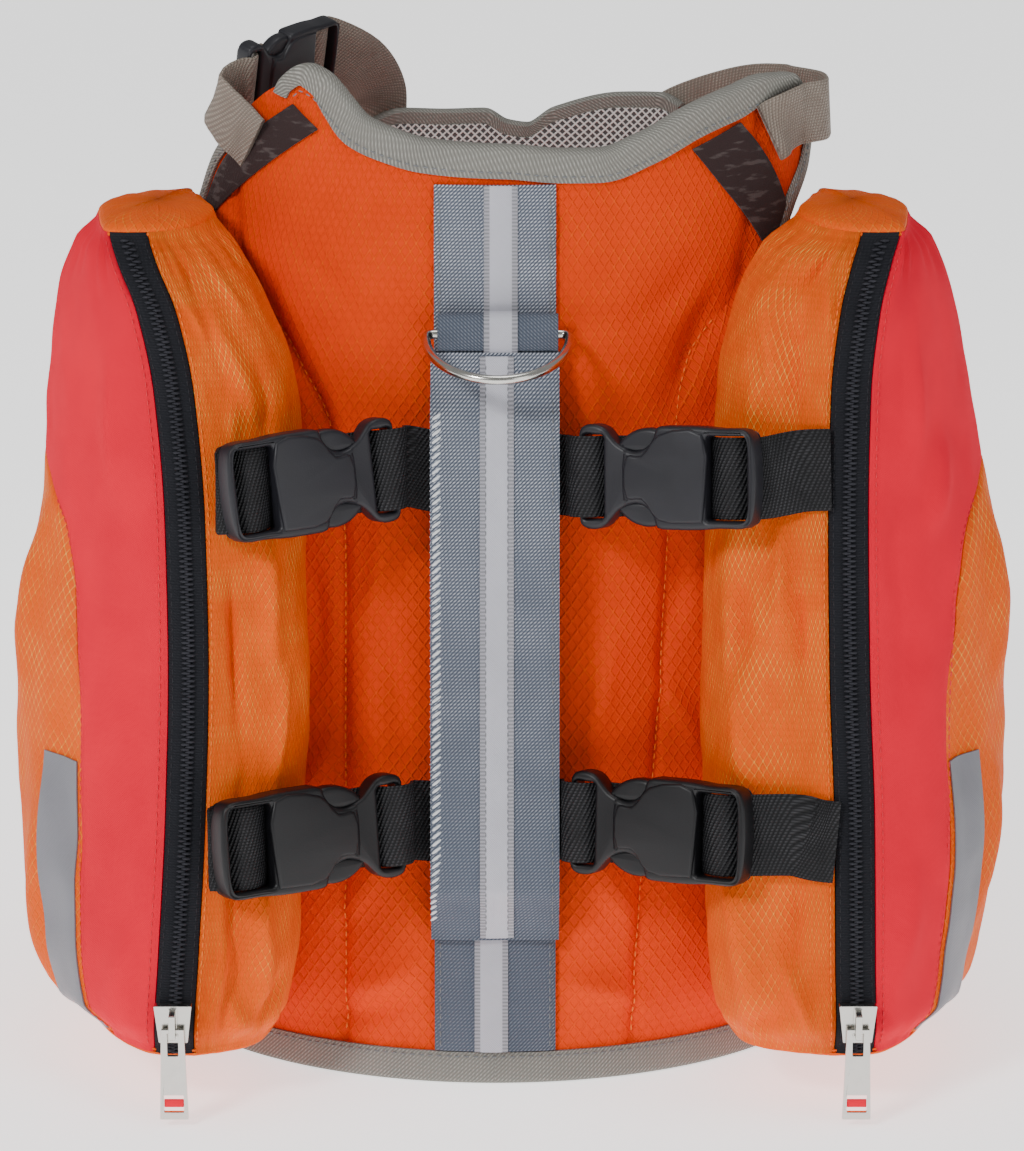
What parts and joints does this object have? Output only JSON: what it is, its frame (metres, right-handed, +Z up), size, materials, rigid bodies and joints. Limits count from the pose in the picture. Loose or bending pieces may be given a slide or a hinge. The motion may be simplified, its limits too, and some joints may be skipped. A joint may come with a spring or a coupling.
{
  "type": "dog life jacket",
  "caption": "Padded orange dog life jacket with a grab handle, a lead ring and two buckled, zipped saddlebags, standing on its hem with the neck up.",
  "frame": {"origin": "on the floor under the middle of the jacket's box", "axes": "+Z up towards the neck, +X to the right of the picture (the jacket's right side), -Y towards the looker, who sees the back"},
  "size_m": [0.315, 0.2208, 0.3192],
  "materials": {
    "orange_cloth": "padded woven cloth",
    "bag_orange_cloth": "ripstop cloth",
    "red_cloth": "woven cloth",
    "grey_twill": "twill tape",
    "blue_grey_twill": "twill",
    "reflective": "reflective tape",
    "dark_nap": "napped cloth",
    "mesh": "mesh",
    "black_webbing": "woven webbing",
    "grey_webbing": "woven webbing",
    "zip_tape": "zip tape with coil teeth",
    "buckle_plastic": "moulded, matt",
    "nickel": "nickel plated"
  },
  "bodies": {
    "jacket": {"back_panel": "orange_cloth", "chest_panel": "orange_cloth", "chest_lining": "mesh", "collar_binding": "grey_twill", "chest_binding": "grey_twill", "hem_binding": "grey_twill", "armhole_binding_left": "grey_twill", "armhole_binding_right": "grey_twill", "chest_armhole_binding_left": "grey_twill", "chest_armhole_binding_right": "grey_twill", "shoulder_band_left": "dark_nap", "shoulder_band_right": "dark_nap", "centre_strip": "blue_grey_twill", "handle": "blue_grey_twill", "ring_loop": "blue_grey_twill", "reflective_tape_upper": "reflective", "reflective_tape_lower": "reflective", "reflective_tape_handle": "reflective", "strap_upper": "black_webbing", "strap_lower": "black_webbing", "shoulder_webbing_left": "grey_webbing", "chest_webbing_left": "grey_webbing", "shoulder_webbing_right": "grey_webbing", "buckle_shoulder_plug": "buckle_plastic", "buckle_shoulder_socket": "buckle_plastic", "buckle_upper_left_plug": "buckle_plastic", "buckle_upper_left_socket": "buckle_plastic", "bag_tail_upper_left": "black_webbing", "buckle_upper_right_plug": "buckle_plastic", "buckle_upper_right_socket": "buckle_plastic", "bag_tail_upper_right": "black_webbing", "buckle_lower_left_plug": "buckle_plastic", "buckle_lower_left_socket": "buckle_plastic", "bag_tail_lower_left": "black_webbing", "buckle_lower_right_plug": "buckle_plastic", "buckle_lower_right_socket": "buckle_plastic", "bag_tail_lower_right": "black_webbing", "bag_inner_left": "bag_orange_cloth", "bag_zip_left": "zip_tape", "bag_red_left": "red_cloth", "bag_side_left": "bag_orange_cloth", "bag_reflective_left": "reflective", "bag_back_left": "bag_orange_cloth", "bag_top_left": "bag_orange_cloth", "bag_gusset_left": "bag_orange_cloth", "zip_slider_left": "nickel", "bag_inner_right": "bag_orange_cloth", "bag_zip_right": "zip_tape", "bag_red_right": "red_cloth", "bag_side_right": "bag_orange_cloth", "bag_reflective_right": "reflective", "bag_back_right": "bag_orange_cloth", "bag_top_right": "bag_orange_cloth", "bag_gusset_right": "bag_orange_cloth", "zip_slider_right": "nickel"},
    "zip_pull_left": {"zip_pull_left": "nickel"},
    "zip_pull_right": {"zip_pull_right": "nickel"},
    "lead_ring": {"d_ring": "nickel"}
  },
  "joints": [
    {"name": "zip_pull_left_swing", "type": "hinge", "parent": "jacket", "child": "zip_pull_left", "pos_m": [-0.10306, -0.10751, 0.03165], "axis": [-1, 0, 0], "range_deg": [0, 140]},
    {"name": "zip_pull_right_swing", "type": "hinge", "parent": "jacket", "child": "zip_pull_right", "pos_m": [0.10624, -0.10751, 0.03165], "axis": [-1, 0, 0], "range_deg": [0, 140]},
    {"name": "lead_ring_swing", "type": "hinge", "parent": "jacket", "child": "lead_ring", "pos_m": [-0.00386, -0.02856, 0.2315], "axis": [-1, 0, 0], "range_deg": [0, 95]}
  ]
}
